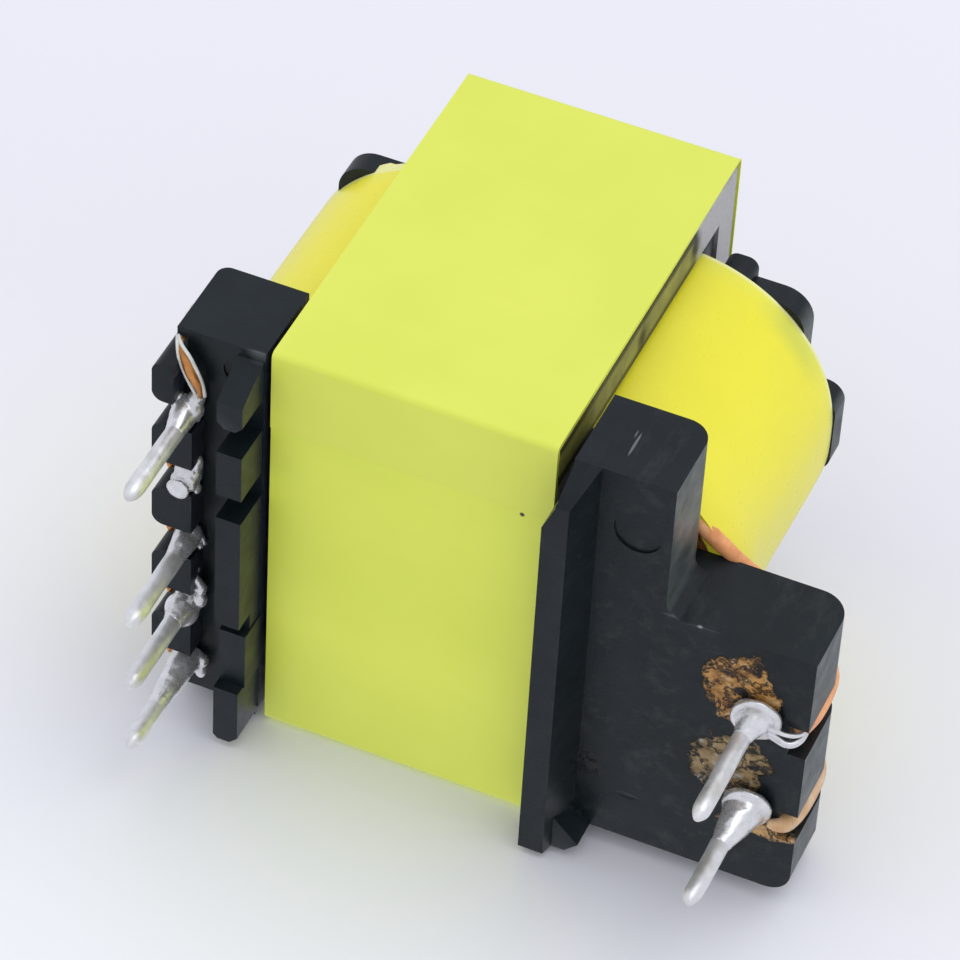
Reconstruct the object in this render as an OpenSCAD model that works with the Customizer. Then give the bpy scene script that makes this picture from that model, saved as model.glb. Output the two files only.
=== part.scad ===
// Board-mounted switching transformer: two E core halves wrapped in tape, a
// wound bobbin with two pin rails, seven solder-tinned pins and their leads.
// The board is the plane Z = 0 and the origin is the middle of the first pin
// there, as on a footprint. The pins point down along -Z, the left rail (five
// pins) is on -X and the wide right block (two pins) is on +X. The modules
// themselves are drawn round the middle of the core.

/* [Core] */
// Depth of the core stack along X
core_width = 8.56; // [7.6:0.02:8.6]
// Length of the E profile along Y
core_length = 14.4; // [13.8:0.1:15.2]
// Height of both core halves together
core_height = 13.3; // [12.9:0.1:14.5]
// Height of the core's lower face above the board
core_lift = 1.55; // [1.45:0.05:1.9]
// Thickness of each outer leg
leg_thick = 1.35; // [1:0.05:1.5]
// Thickness of the back of each E
back_thick = 1.3; // [1:0.05:1.4]
// Thickness of the middle leg along Y
mid_leg = 2.7; // [2:0.1:3]
// Air gap ground into the two middle legs together
mid_gap = 0.2; // [0.1:0.05:0.6]
// Chamfer along the core's long outer edges
core_chamfer = 0.12; // [0.05:0.01:0.2]

/* [Core tape] */
// Thickness of one turn of tape
tape_thick = 0.05; // [0.03:0.01:0.08]
// Complete turns under the last one
tape_turns = 2; // [1:1:3]
// Width of the tape
tape_width = 8.58; // [8.2:0.02:8.7]
// Length of the last turn folded over the board-side face
lap_fold = 2.75; // [1:0.05:5]

/* [Bobbin] */
// Gap between the middle leg and the tube, each side
tube_clear = 0.1; // [0.05:0.01:0.2]
// Wall of the winding tube
tube_wall = 0.65; // [0.5:0.05:0.8]
// Gap between a flange and the back of the core
flange_clear = 0.1; // [0.05:0.01:0.3]
// Thickness of the flange away from the board
top_flange_thick = 0.8; // [0.6:0.05:1.2]
// Reach of the top flange towards the right block, without its tab
top_flange_x = 7.47; // [6.8:0.01:8]
// Reach of the top flange towards the left rail
top_flange_left = 7.35; // [6.8:0.01:8]
// Half width of the top flange beside the core
top_flange_y = 4.5; // [4:0.05:5]
// Distance of the top flange's side bumps from the middle along X
bump_x = 5.17; // [4.8:0.01:5.6]
// Width of the side bumps along X
bump_wide = 0.96; // [0.6:0.02:1.4]
// Reach of the side bumps along Y
bump_y = 5.13; // [4.7:0.01:5.2]
// Reach of the top flange's end tab along X
top_tab_x = 8.7; // [8:0.05:9.5]
// Width of the end tab
top_tab_width = 2.9; // [1.5:0.1:3.4]

/* [Rails] */
// Height of the rails' pin face above the board
pin_face = 1.35; // [1.1:0.05:1.5]
// Thickness of the rails
rail_thick = 2.85; // [2.4:0.05:3.2]
// How far the rails stand past the core at their first end
rail_over = 0.05; // [0:0.01:0.15]
// How far the rails stop short of the core at their foot end
rail_short = 0.37; // [0.2:0.01:0.6]
// Width of the wide foot beside the right block
foot_wide = 1.7; // [1.4:0.05:2]
// How far the wide foot stays above the board
foot_drop = 0.4; // [0:0.05:0.8]
// Length of the wide foot along Y
foot_long = 1.3; // [1:0.05:1.6]
// Gap between the taped core and the left rail
left_gap = 0.16; // [0.1:0.01:0.3]
// Distance of the left rail's outer wall from the middle
left_wall = 7.15; // [7.1:0.01:7.3]
// How far the teeth stand out from the left rail's outer wall
teeth_out = 0.4; // [0.3:0.01:0.6]
// Height of the teeth below the pin face
teeth_drop = 0.8; // [0.5:0.05:1.1]
// Width of the wire slots between the teeth
slot_width = 1.05; // [0.6:0.05:1.3]
// Offset of the wire slots from the pins, towards the long end
slot_shift = 0.2; // [0:0.05:0.3]
// Length of the plain end of the left rail before the first tooth
end_plain = 0.8; // [0.6:0.05:0.9]
// Radius of the teeth's outer corners
tooth_round = 0.35; // [0.1:0.05:0.45]
// Distance of the right block's inner wall from the middle
right_inner = 4.8; // [4.7:0.05:5]
// Distance of the right block's first wall from the middle
right_step = 7.8; // [7.5:0.01:8]
// Distance of the right block's end from the middle
right_end = 12.3; // [12:0.05:12.8]
// Position of the step along Y
step_at = -2.54; // [-2.8:0.01:-2.2]
// Radius of the right block's upper outer edge at the first wall
step_round = 0.75; // [0.5:0.05:1.1]
// Radius of the right block's upper outer edge at its end
end_round = 0.9; // [0.5:0.05:1.1]
// Depth of the two wire grooves in the right block's end
groove_deep = 0.55; // [0.3:0.05:0.7]
// Width of the two wire grooves
groove_wide = 1.1; // [0.8:0.05:1.3]
// Offset of the two wire grooves from their pins, towards the foot end
groove_shift = 0.4; // [0.2:0.05:0.5]

/* [Pins] */
// Pin diameter
pin_d = 0.55; // [0.45:0.05:0.65]
// Length of the pins below the board plane
pin_below = 2.9; // [2:0.1:4]
// Depth of the pins inside the rails
pin_set = 2.3; // [1.6:0.1:2.3]
// Length of the pin's pointed tip
pin_tip = 0.35; // [0.2:0.05:0.5]
// Pitch of the five left pins
left_pitch = 2.5; // [2.45:0.01:2.54]
// Pitch of the two right pins
right_pitch = 3.5; // [3.3:0.05:3.7]
// Position of the left pins along X
left_pin_x = -6.6; // [-6.7:0.05:-6.5]
// Position of the right pins along X
right_pin_x = 10.65; // [10.5:0.05:10.8]
// Position of the middle left pin along Y
left_pin_y = 0.5; // [0.4:0.05:0.6]
// Position of the middle of the right pins along Y
right_pin_y = 2.0; // [1.9:0.05:2.1]
// How much thinner the pins get towards their ends inside the rails
pin_taper = 0.05; // [0.02:0.01:0.1]
// Free length of the second pin, which is cut off short
cut_pin = 0.95; // [0.95:0.05:1.2]
// Radius of the solder fillets on the left pins
solder_left = 0.5; // [0.4:0.01:0.54]
// Radius of the solder fillets on the right pins
solder_right = 0.78; // [0.6:0.01:0.85]

/* [Windings] */
// Half length of the finished winding along X
wind_x = 8.48; // [8.2:0.02:8.8]
// How far the finished winding sits towards the right block
wind_shift = 0.17; // [0:0.01:0.3]
// Half width of the flat places at the winding's two ends
wind_flat = 0.3; // [0.1:0.05:0.6]
// Gap between the finished winding and the core's outer legs
wind_clear = 0.5; // [0.3:0.05:0.8]
// How much of the winding's depth the first coil fills
first_share = 0.37; // [0.25:0.01:0.45]
// How much of the winding's depth the first two coils fill
second_share = 0.7; // [0.55:0.01:0.8]
// Thickness of the outer winding tape
wind_tape = 0.15; // [0.1:0.01:0.25]
// Thickness of the tape between two windings
layer_tape = 0.06; // [0.04:0.01:0.1]
// Diameter of the insulated leads to the right block
lead_d = 0.42; // [0.3:0.02:0.5]
// Diameter of the fine leads to the left rail
fine_d = 0.26; // [0.2:0.02:0.34]

/* [Hidden] */
$fn = 48;
e = 0.01;
core_half = core_width / 2;
leg_in = core_length / 2 - leg_thick;
rail_end = core_length / 2 + rail_over;
rail_foot = core_length / 2 - rail_short;
foot_end = core_length / 2;
teeth_reach = left_wall + teeth_out;
wind_y = leg_in - wind_clear;
wind_corner = wind_y - wind_flat;
core_top = core_lift + core_height;
core_mid = core_lift + core_height / 2;
win_low = core_lift + back_thick;
win_top = core_top - back_thick;
wrap = tape_thick * tape_turns;
tape_half = tape_width / 2;
flange_low = win_low + flange_clear;
rail_top = pin_face + rail_thick;
flange_top = win_top - flange_clear;
wind_top = flange_top - top_flange_thick;
tube_x = core_half + tube_clear;
tube_y = mid_leg / 2 + tube_clear;
left_inner = tape_half + left_gap;
rib_in = tape_half + 0.19;
in_tape_x = wind_x - wind_tape;
in_tape_y = wind_y - wind_tape;
tube_out_x = tube_x + tube_wall;
tube_out_y = tube_y + tube_wall;
first_x = tube_out_x + (in_tape_x - tube_out_x) * first_share;
first_y = tube_out_y + (in_tape_y - tube_out_y) * first_share;
second_x = tube_out_x + (in_tape_x - tube_out_x) * second_share;
second_y = tube_out_y + (in_tape_y - tube_out_y) * second_share;
left_ys = [for (i = [-2:2]) left_pin_y + i * left_pitch];
right_ys = [right_pin_y - right_pitch / 2, right_pin_y + right_pitch / 2];
groove_ys = [right_ys[0] + groove_shift, right_ys[1] + groove_shift];
// places of the seven pins, and how far solder climbs down each from the pin face
pin_spots = concat([for (y = left_ys) [left_pin_x, y]], [for (y = right_ys) [right_pin_x, y]]);
solder_tall = [1.3, 0.9, 1.1, 1.4, 1.3, 0.9, 1.5];
solder_wide = [solder_left, solder_left, solder_left, solder_left, solder_left, solder_right, solder_right];
socket_end = pin_face + pin_set;
// plan radii of the standoffs' cut corners, and the gap of the sloped ends
post_wide = 0.78;
post_x = -5.28;
slope = 0.65;
arm_round = 0.75;
black = [0.16, 0.18, 0.2];
lime = [0.85, 0.9, 0.4];
amber = [0.92, 0.9, 0.35];
ferrite = [0.4, 0.4, 0.4];
copper = [0.82, 0.5, 0.28];
tin = [0.82, 0.83, 0.85];

// ---------- general shapes ----------

// rectangle with round corners, true arcs
module round_rect(hx, hy, r) {
    square([2 * hx, 2 * (hy - r)], center = true);
    square([2 * (hx - r), 2 * hy], center = true);
    for (x = [-1, 1], y = [-1, 1])
        translate([x * (hx - r), y * (hy - r)]) circle(r = r);
}

// point on a smooth curve through p at parameter t of stretch i
function curve(p, i, t) =
    let(n = len(p) - 1,
        a = p[max(i - 1, 0)], b = p[i], c = p[min(i + 1, n)], d = p[min(i + 2, n)])
    0.5 * (2 * b + (c - a) * t + (2 * a - 5 * b + 4 * c - d) * t * t
           + (3 * b - a - 3 * c + d) * t * t * t);
function route(p, k) = concat([for (i = [0:len(p) - 2], j = [0:k - 1]) curve(p, i, j / k)], [p[len(p) - 1]]);
function unit(v) = v / norm(v);
function tangent(q, i) = unit(q[min(i + 1, len(q) - 1)] - q[max(i - 1, 0)]);
// sideways direction carried along the route without twist
function side(q, i) =
    i == 0 ? unit(cross(tangent(q, 0), [0.31, 0.82, 0.48]))
           : let(s = side(q, i - 1), t = tangent(q, i)) unit(s - (s * t) * t);

// wire swept along a smooth route through p
module wire(p, d, k = 4, n = 10) {
    q = route(p, k);
    m = len(q);
    polyhedron(
        points = [for (i = [0:m - 1]) let(t = tangent(q, i), u = side(q, i), v = cross(t, u))
                  for (j = [0:n - 1]) q[i] + d / 2 * (cos(360 * j / n) * u + sin(360 * j / n) * v)],
        faces = concat([[for (j = [0:n - 1]) n - 1 - j], [for (j = [0:n - 1]) (m - 1) * n + j]],
                       [for (i = [0:m - 2], j = [0:n - 1])
                        [i * n + j, i * n + (j + 1) % n, (i + 1) * n + (j + 1) % n, (i + 1) * n + j]]));
}

// prism along X: profile drawn in Y and Z
module along_x(x0, x1) {
    translate([x0, 0, 0]) rotate([90, 0, 90]) linear_extrude(height = x1 - x0) children();
}

// prism along Y: profile drawn in X and Z
module along_y(y0, y1) {
    translate([0, y1, 0]) rotate([90, 0, 0]) linear_extrude(height = y1 - y0) children();
}

// ---------- core ----------

module e_half(mid_short) {
    difference() {
        along_x(-core_half, core_half)
            difference() {
                translate([-core_length / 2, 0]) square([core_length, core_height / 2]);
                for (s = [-1, 1])
                    translate([s * (mid_leg / 2 + leg_in) / 2, back_thick + core_height / 2])
                        square([leg_in - mid_leg / 2, core_height], center = true);
                translate([-mid_leg / 2, core_height / 2 - mid_short]) square([mid_leg, mid_short + 1]);
            }
        for (x = [-1, 1])
            translate([x * core_half, 0, 0]) rotate([0, 45, 0])
                cube([core_chamfer * sqrt(2), core_length + 2, core_chamfer * sqrt(2)], center = true);
        for (x = [-1, 1], y = [-1, 1])
            translate([x * core_half, y * core_length / 2, 0]) rotate([0, 0, 45])
                cube([core_chamfer * sqrt(2), core_chamfer * sqrt(2), core_height + 2], center = true);
    }
}

module core_lower() color(ferrite) translate([0, 0, core_lift]) e_half(mid_gap / 2);

module core_upper() color(ferrite) translate([0, 0, core_top]) mirror([0, 0, 1]) e_half(mid_gap / 2);

// ---------- core tape ----------

module tape_outline(t) {
    r = 0.04 + t;
    translate([0, core_mid]) round_rect(core_length / 2 + t, core_height / 2 + t, r);
}

module core_tape()
    color(lime) along_x(-tape_half, tape_half)
        difference() {
            tape_outline(wrap);
            translate([0, core_mid]) square([core_length, core_height], center = true);
        }

module core_tape_lap()
    color(lime) along_x(-tape_half, tape_half)
        difference() {
            tape_outline(wrap + tape_thick);
            tape_outline(wrap);
            translate([-core_length / 2 - wrap + lap_fold, core_lift - wrap - 1])
                square([core_length, 2]);
            translate([core_length / 2 - 2, core_lift - wrap - 1]) square([4, 3]);
        }

// ---------- bobbin ----------

// top flange outline: a plate with an end tab, two side bumps and the part between the legs
module top_plate() {
    translate([(top_flange_x - top_flange_left) / 2, 0])
        round_rect((top_flange_x + top_flange_left) / 2, top_flange_y, 0.95);
    translate([bump_x, 0]) round_rect(bump_wide / 2, bump_y, 0.35);
    translate([top_tab_x / 2, 0]) round_rect(top_tab_x / 2, top_tab_width / 2, 0.6);
    round_rect(core_half - 0.1, leg_in - 0.12, 0.3);
}

// upper outer edges of the left rail are slightly rounded
module left_profile() {
    r = 0.35;
    difference() {
        translate([-left_wall, pin_face]) square([left_wall - left_inner, rail_thick]);
        translate([-left_wall, rail_top - r]) square([r, r]);
    }
    intersection() {
        translate([-left_wall + r, rail_top - r]) circle(r = r);
        translate([-left_wall, rail_top - r]) square([r, r]);
    }
}

// plan of one tooth of the outer comb, with round outer corners
module tooth_plan(y0, y1, inner) {
    r = tooth_round;
    translate([r - teeth_reach, y0]) square([inner + teeth_reach - r, y1 - y0]);
    translate([-teeth_reach, y0 + r]) square([r + e, y1 - y0 - 2 * r]);
    for (y = [y0 + r, y1 - r])
        translate([r - teeth_reach, y]) circle(r = r);
}

// one tooth: a lug on the outer wall that also hangs below the pin face
module tooth(y0, y1, inner) {
    translate([0, 0, pin_face - teeth_drop]) linear_extrude(height = teeth_drop + 0.1)
        tooth_plan(y0, y1, inner);
    translate([0, 0, pin_face]) linear_extrude(height = rail_thick - 0.4)
        tooth_plan(y0, y1, 0.2 - left_wall);
}

module left_rail() {
    difference() {
        union() {
            along_y(-rail_end, rail_foot) left_profile();
            tooth(end_plain - rail_end, left_ys[0] - slot_width / 2, left_pin_x - 0.3);
            for (i = [1:4])
                tooth(left_ys[i] - slot_shift - left_pitch + slot_width / 2,
                      left_ys[i] - slot_shift - slot_width / 2, left_pin_x + 0.3);
        }
        // shallow moulding mark
        translate([-5.3, -6.25, pin_face - e]) cylinder(r = 0.42, h = 0.06 + e);
        // wire notch in the plain end
        translate([-left_wall - 1, end_plain - rail_end - 0.5, pin_face - 1])
            cube([1 + 0.32, 0.5, rail_thick + 2]);
        // pin sockets; the solder fillets fill the teeth's inner corners
        for (i = [0:4]) {
            pin_root(i);
            solder_fillet(i);
        }
    }
    left_standoffs();
}

// standoff blocks next to the core, with gaps for wires between them
module left_standoffs() {
    x0 = post_x;
    w = post_wide;
    x1 = x0 + w;
    first = 0.3 - rail_end;
    first_end = first + 1.6;
    foot = foot_end - 2.11;
    // sloped first block
    difference() {
        translate([x0, first, 0]) cube([w, first_end - first, pin_face + 0.2]);
        along_x(x0 - 1, x1 + 1)
            polygon([[first - e, pin_face], [first + slope, -e], [first + slope, -1], [first - 1, -1], [first - 1, pin_face]]);
        // cut corners
        for (x = [x0, x1])
            translate([x, first_end, -e]) rotate([0, 0, 45]) cube([0.3, 0.3, 3], center = true);
    }
    translate([x0, -4.4, 0]) cube([w, 1.65, pin_face + 0.2]);
    translate([x0, -1.85, 0]) cube([w, 4.25, pin_face + 0.2]);
    translate([x0, 3.0, 0.35]) cube([w + 0.05, foot - 3.0 + e, pin_face - 0.1]);
    translate([x0, 2.39, 0.75]) cube([w, 0.62, pin_face - 0.5]);
    // foot
    difference() {
        translate([x0, foot, 0]) cube([w, foot_end - foot, pin_face + 0.2]);
        translate([x0, foot_end, -e]) rotate([0, 0, 45]) cube([0.2, 0.2, 6], center = true);
        translate([x1, foot_end, -e]) rotate([0, 0, 45]) cube([0.35, 0.35, 6], center = true);
    }
    // web that joins the foot to the rail
    translate([x0 - 0.02, rail_foot - 0.4, pin_face - 0.1]) cube([w + 0.02, foot_end - rail_foot + 0.3, rail_thick - 0.3]);
}

// cross-section of the right block with its large upper outer radius
module block_profile(end, r) {
    translate([right_inner, pin_face]) square([end - right_inner, rail_thick - r]);
    translate([right_inner, pin_face]) square([end - r - right_inner, rail_thick]);
    translate([end - r, rail_top - r]) circle(r = r);
}

module right_block() {
    difference() {
        union() {
            along_y(-rail_end, rail_foot) block_profile(right_step, step_round);
            // arm with a rounded corner in plan
            intersection() {
                along_y(step_at, rail_foot) block_profile(right_end, end_round);
                linear_extrude(height = 20) {
                    square([right_end - arm_round, rail_foot]);
                    translate([0, -4]) square([right_end, rail_foot + 4 - arm_round]);
                    translate([right_end - arm_round, rail_foot - arm_round]) circle(r = arm_round);
                }
            }
            // fillet in the inner corner of the step
            translate([right_step, step_at, pin_face]) linear_extrude(height = rail_thick - step_round)
                difference() {
                    translate([-0.1, -0.5]) square([0.6, 0.6]);
                    translate([0.5, -0.5]) circle(r = 0.5);
                }
        }
        // wire grooves in the end face
        for (y = groove_ys)
            translate([right_end - groove_deep, y - groove_wide / 2, pin_face - 1])
                cube([groove_deep + 1, groove_wide, rail_thick + 2]);
        // pin sockets
        for (i = [5, 6])
            pin_root(i);
        // shallow moulding mark
        translate([6.8, -5.3, pin_face - e]) cylinder(r = 0.72, h = 0.07 + e);
    }
    right_rib();
}

// tapered standoff rib next to the core, sloped at one end, with a wide foot
module right_rib() {
    difference() {
        along_y(-rail_end, foot_end)
            polygon([[rib_in, pin_face + 0.3], [rib_in, 0], [5.25, 0], [5.62, pin_face], [5.62, pin_face + 0.3]]);
        // sloped end
        along_x(4, 7)
            polygon([[-rail_end, pin_face], [slope - rail_end, -e], [slope - rail_end, -1],
                     [-rail_end - 1, -1], [-rail_end - 1, pin_face]]);
        // relief beside the core at the sloped end
        translate([0, 0, -1]) linear_extrude(height = 6)
            polygon([[4, -rail_end - 1], [4.84, -rail_end - 1], [4.84, 0.7 - rail_end],
                     [rib_in, 1.55 - rail_end], [4, 1.55 - rail_end]]);
    }
    // wide foot, a little lower than the rib
    difference() {
        translate([rib_in, foot_end - foot_long, foot_drop]) cube([foot_wide, foot_long, pin_face + 0.2 - foot_drop]);
        translate([rib_in + foot_wide, foot_end, 0]) rotate([0, 0, 45]) cube([0.6, 0.6, 6], center = true);
        translate([rib_in + foot_wide, foot_end - foot_long, 0]) rotate([0, 0, 45]) cube([1.3, 1.3, 6], center = true);
    }
    // web that joins the rib to the block
    translate([rib_in, 1.55 - rail_end, pin_face]) cube([right_inner - rib_in + 0.1, foot_end + rail_end - 1.55, rail_thick - 0.5]);
    translate([rib_in, rail_foot - 0.5, pin_face - 0.1]) cube([1.4, foot_end - rail_foot + 0.5, rail_thick - 0.4]);
}

module bobbin()
    color(black)
        difference() {
            union() {
                // winding tube
                translate([0, 0, flange_low]) linear_extrude(height = flange_top - flange_low)
                    round_rect(tube_out_x, tube_out_y, 0.5);
                // lower flange between the rails
                translate([-left_inner - 0.5, -leg_in + 0.12, flange_low])
                    cube([left_inner + right_inner + 1, 2 * (leg_in - 0.12), rail_top - flange_low]);
                // upper flange
                translate([0, 0, wind_top]) linear_extrude(height = top_flange_thick) top_plate();
                left_rail();
                right_block();
            }
            // opening for the middle leg
            translate([0, 0, core_mid])
                cube([2 * tube_x, 2 * tube_y, 2 * core_height], center = true);
        }

// ---------- windings ----------

// one coil or tape layer; g is how far its bore and its outside sit off centre
module layer(ox, oy, og, ix, iy, ig, ir)
    translate([0, 0, rail_top]) linear_extrude(height = wind_top - rail_top)
        difference() {
            translate([og, 0]) round_rect(ox, oy, oy - wind_flat);
            translate([ig, 0]) round_rect(ix, iy, ir);
        }

module winding_first()
    color(copper) layer(first_x, first_y, 0, tube_out_x, tube_out_y, 0, 0.5);

module tape_first()
    color(amber) layer(first_x + layer_tape, first_y + layer_tape, 0, first_x, first_y, 0, first_y - wind_flat);

module winding_second()
    color(copper) layer(second_x, second_y, wind_shift / 2,
                        first_x + layer_tape, first_y + layer_tape, 0, first_y + layer_tape - wind_flat);

module tape_second()
    color(amber) layer(second_x + layer_tape, second_y + layer_tape, wind_shift / 2,
                       second_x, second_y, wind_shift / 2, second_y - wind_flat);

module winding_third()
    color(copper) layer(in_tape_x, in_tape_y, wind_shift,
                        second_x + layer_tape, second_y + layer_tape, wind_shift / 2, second_y + layer_tape - wind_flat);

module winding_tape()
    color(amber) layer(wind_x, wind_y, wind_shift, in_tape_x, in_tape_y, wind_shift, in_tape_y - wind_flat);

// ---------- pins ----------

// the upper part of pin i, inside the solder and the rail; it gets slightly thinner
module pin_root(i) {
    low = pin_face - solder_tall[i];
    translate([pin_spots[i][0], pin_spots[i][1], low])
        cylinder(d1 = pin_d, d2 = pin_d - pin_taper, h = socket_end - low);
}

// pin i: point, straight free part and root
module pin(i) {
    low = pin_face - solder_tall[i];
    color(tin) {
        pin_root(i);
        translate([pin_spots[i][0], pin_spots[i][1], pin_tip - pin_below])
            cylinder(d = pin_d, h = low + pin_below - pin_tip);
        translate([pin_spots[i][0], pin_spots[i][1], -pin_below])
            cylinder(d1 = pin_d * 0.4, d2 = pin_d, h = pin_tip);
    }
}

module pin_1() pin(0);
// the second pin is cut off flat just below its solder
module pin_2() color(tin) {
    pin_root(1);
    translate([pin_spots[1][0], pin_spots[1][1], pin_face - cut_pin])
        cylinder(d = pin_d, h = cut_pin - solder_tall[1]);
}
module pin_3() pin(2);
module pin_4() pin(3);
module pin_5() pin(4);
module pin_6() pin(5);
module pin_7() pin(6);

// ---------- leads ----------

// point beside the winding's round end: side of the part along X and Y, angle
// from the X axis, gap to the winding and height above the board
function beside(sx, sy, a, gap, z) =
    [wind_shift + sx * (wind_x - wind_corner + (wind_corner + gap) * cos(a)),
     sy * (wind_flat + (wind_corner + gap) * sin(a)), z];

// end of a fine lead: down a slot at sy to the edge of the rail and the solder on its pin
function left_end(sy) = [
    [-left_wall - 0.25, sy, 3.6],
    [-left_wall - 0.17, sy, 3.1],
    [-left_wall - 0.17, sy, 1.7],
    [-left_wall - 0.14, sy + 0.03, pin_face - 0.12],
    [left_pin_x - solder_left - 0.04, sy + 0.1, pin_face - 0.27]
];

// the first lead comes down the notch and reaches its pin from the plain end
module lead_1() color(copper) wire([
    beside(-1, -1, 50.5, 0.2, rail_top + 0.8),
    beside(-1, -1, 53.8, 1.02, rail_top + 0.4),
    [-6.95, 0.95 - rail_end, rail_top + 0.3],
    [-6.98, 0.63 - rail_end, rail_top + 0.17],
    [-6.99, 0.48 - rail_end, 3.7],
    [-6.99, 0.48 - rail_end, 1.6],
    [-6.92, 0.5 - rail_end, pin_face - 0.2],
    [-6.7, 0.8 - rail_end, pin_face - 0.28],
    [-6.45, 1.35 - rail_end, pin_face - 0.28],
    [-6.34, left_ys[0] - 0.95, pin_face - 0.28],
    [left_pin_x + 0.12, left_ys[0] - 0.55, pin_face - 0.28]], fine_d);
module lead_2() color(copper)
    wire(concat([beside(-1, -1, 16.7, 0.16, 5.0), beside(-1, -1, 17.8, 0.19, 4.3),
                 [-teeth_reach - 0.4, left_ys[1] - 0.05, 3.85]],
                left_end(left_ys[1] - slot_shift)), fine_d);
module lead_3() color(copper)
    wire(concat([beside(-1, 1, 0, 0.19, 5.0), beside(-1, 1, 0, 0.19, 4.3),
                 [-teeth_reach - 0.55, left_ys[2] - slot_shift, 3.85]],
                left_end(left_ys[2] - slot_shift)), fine_d);
module lead_4() color(copper)
    wire(concat([beside(-1, 1, 22.5, 0.19, 5.0), beside(-1, 1, 23.5, 0.22, 4.3),
                 [-teeth_reach - 0.3, left_ys[3] - slot_shift * 2, 3.85]],
                left_end(left_ys[3] - slot_shift)), fine_d);
module lead_5() color(copper)
    wire(concat([beside(-1, 1, 48.5, 0.22, 5.0), beside(-1, 1, 49.7, 0.85, 4.6)],
                left_end(left_ys[4] - slot_shift)), fine_d);

// end of an insulated lead: into the groove at gy, down it, to the solder of the pin at py
function right_end_route(gy, py) = [
    [right_end - 0.4, gy - 0.2, rail_top + 0.2],
    [right_end - 0.24, gy - 0.03, rail_top - 0.2],
    [right_end - 0.26, gy, 3.4],
    [right_end - 0.26, gy, 1.9],
    [right_end - 0.3, gy - 0.02, pin_face + 0.05],
    [right_end - 0.45, gy - 0.08, pin_face - 0.23],
    [right_pin_x + solder_right + 0.03, py + 0.12, pin_face - 0.27]
];

module lead_6() color(copper)
    wire(concat([beside(1, -1, 46.9, 0.22, 4.9), beside(1, -1, 38.66, 0.27, 4.5), beside(1, -1, 28.6, 0.53, 4.46),
                 [9.4, -2.3, 4.46], [right_end - 1.0, -0.2, 4.5]],
                right_end_route(groove_ys[0], right_ys[0])), lead_d);
module lead_7() color(copper)
    wire(concat([beside(1, 1, 22, 0.29, 5.1), [9.4, 2.85, 4.55], [right_end - 1.1, 3.75, 4.5]],
                right_end_route(groove_ys[1], right_ys[1])), lead_d);

// ---------- solder ----------

// solder round pin i: a low fillet on the pin face and a thin sleeve down the pin
module solder_fillet(i) {
    foot = 0.35;
    edge = 0.15;
    r = solder_wide[i];
    tall = solder_tall[i];
    translate([pin_spots[i][0], pin_spots[i][1], 0]) {
        translate([0, 0, pin_face - tall]) cylinder(r1 = pin_d / 2 + 0.06, r2 = pin_d / 2 + 0.14, h = tall - foot);
        translate([0, 0, pin_face - foot]) cylinder(r1 = r * 0.8, r2 = r, h = foot - edge);
        translate([0, 0, pin_face - edge]) cylinder(r = r, h = edge);
    }
}

module solder(i)
    color(tin) difference() {
        solder_fillet(i);
        pin_root(i);
    }

module solder_1() solder(0);
module solder_2() solder(1);
module solder_3() solder(2);
module solder_4() solder(3);
module solder_5() solder(4);
module solder_6() solder(5);
module solder_7() solder(6);

// every node is handed over with the first pin at the origin
module placed() translate([-left_pin_x, -left_ys[0], 0]) children();

placed() core_lower();
placed() core_upper();
placed() core_tape();
placed() core_tape_lap();
placed() bobbin();
placed() winding_first();
placed() tape_first();
placed() winding_second();
placed() tape_second();
placed() winding_third();
placed() winding_tape();
placed() pin_1();
placed() pin_2();
placed() pin_3();
placed() pin_4();
placed() pin_5();
placed() pin_6();
placed() pin_7();
placed() lead_1();
placed() lead_2();
placed() lead_3();
placed() lead_4();
placed() lead_5();
placed() lead_6();
placed() lead_7();
placed() solder_1();
placed() solder_2();
placed() solder_3();
placed() solder_4();
placed() solder_5();
placed() solder_6();
placed() solder_7();
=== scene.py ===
"""Finish of a board-mounted switching transformer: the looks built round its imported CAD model."""

import math

import bmesh
import bpy
from mathutils import Matrix, Vector


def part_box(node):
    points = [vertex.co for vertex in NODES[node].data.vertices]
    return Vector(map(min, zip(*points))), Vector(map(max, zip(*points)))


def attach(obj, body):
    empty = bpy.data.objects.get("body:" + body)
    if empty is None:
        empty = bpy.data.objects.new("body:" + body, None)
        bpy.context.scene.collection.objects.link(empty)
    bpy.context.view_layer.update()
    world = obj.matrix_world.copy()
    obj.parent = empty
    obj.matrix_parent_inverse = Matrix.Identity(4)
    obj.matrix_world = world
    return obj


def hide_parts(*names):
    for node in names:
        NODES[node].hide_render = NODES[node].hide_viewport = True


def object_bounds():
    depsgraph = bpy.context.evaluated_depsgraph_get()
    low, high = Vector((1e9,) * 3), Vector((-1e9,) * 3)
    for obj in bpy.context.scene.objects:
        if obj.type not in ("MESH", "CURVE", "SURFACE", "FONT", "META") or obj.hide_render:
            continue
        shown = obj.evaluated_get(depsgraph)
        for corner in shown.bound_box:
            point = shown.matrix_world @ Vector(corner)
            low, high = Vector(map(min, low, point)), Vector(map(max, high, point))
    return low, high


bl_info = {
    "name": "Board transformer finish",
    "version": (1, 0, 0),
    "blender": (4, 5, 0),
    "location": "3D View > Sidebar > Transformer",
    "description": "Bobbin, taped core, windings, tinned pins, solder and leads of a switching transformer",
    "category": "Object",
}

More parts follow.
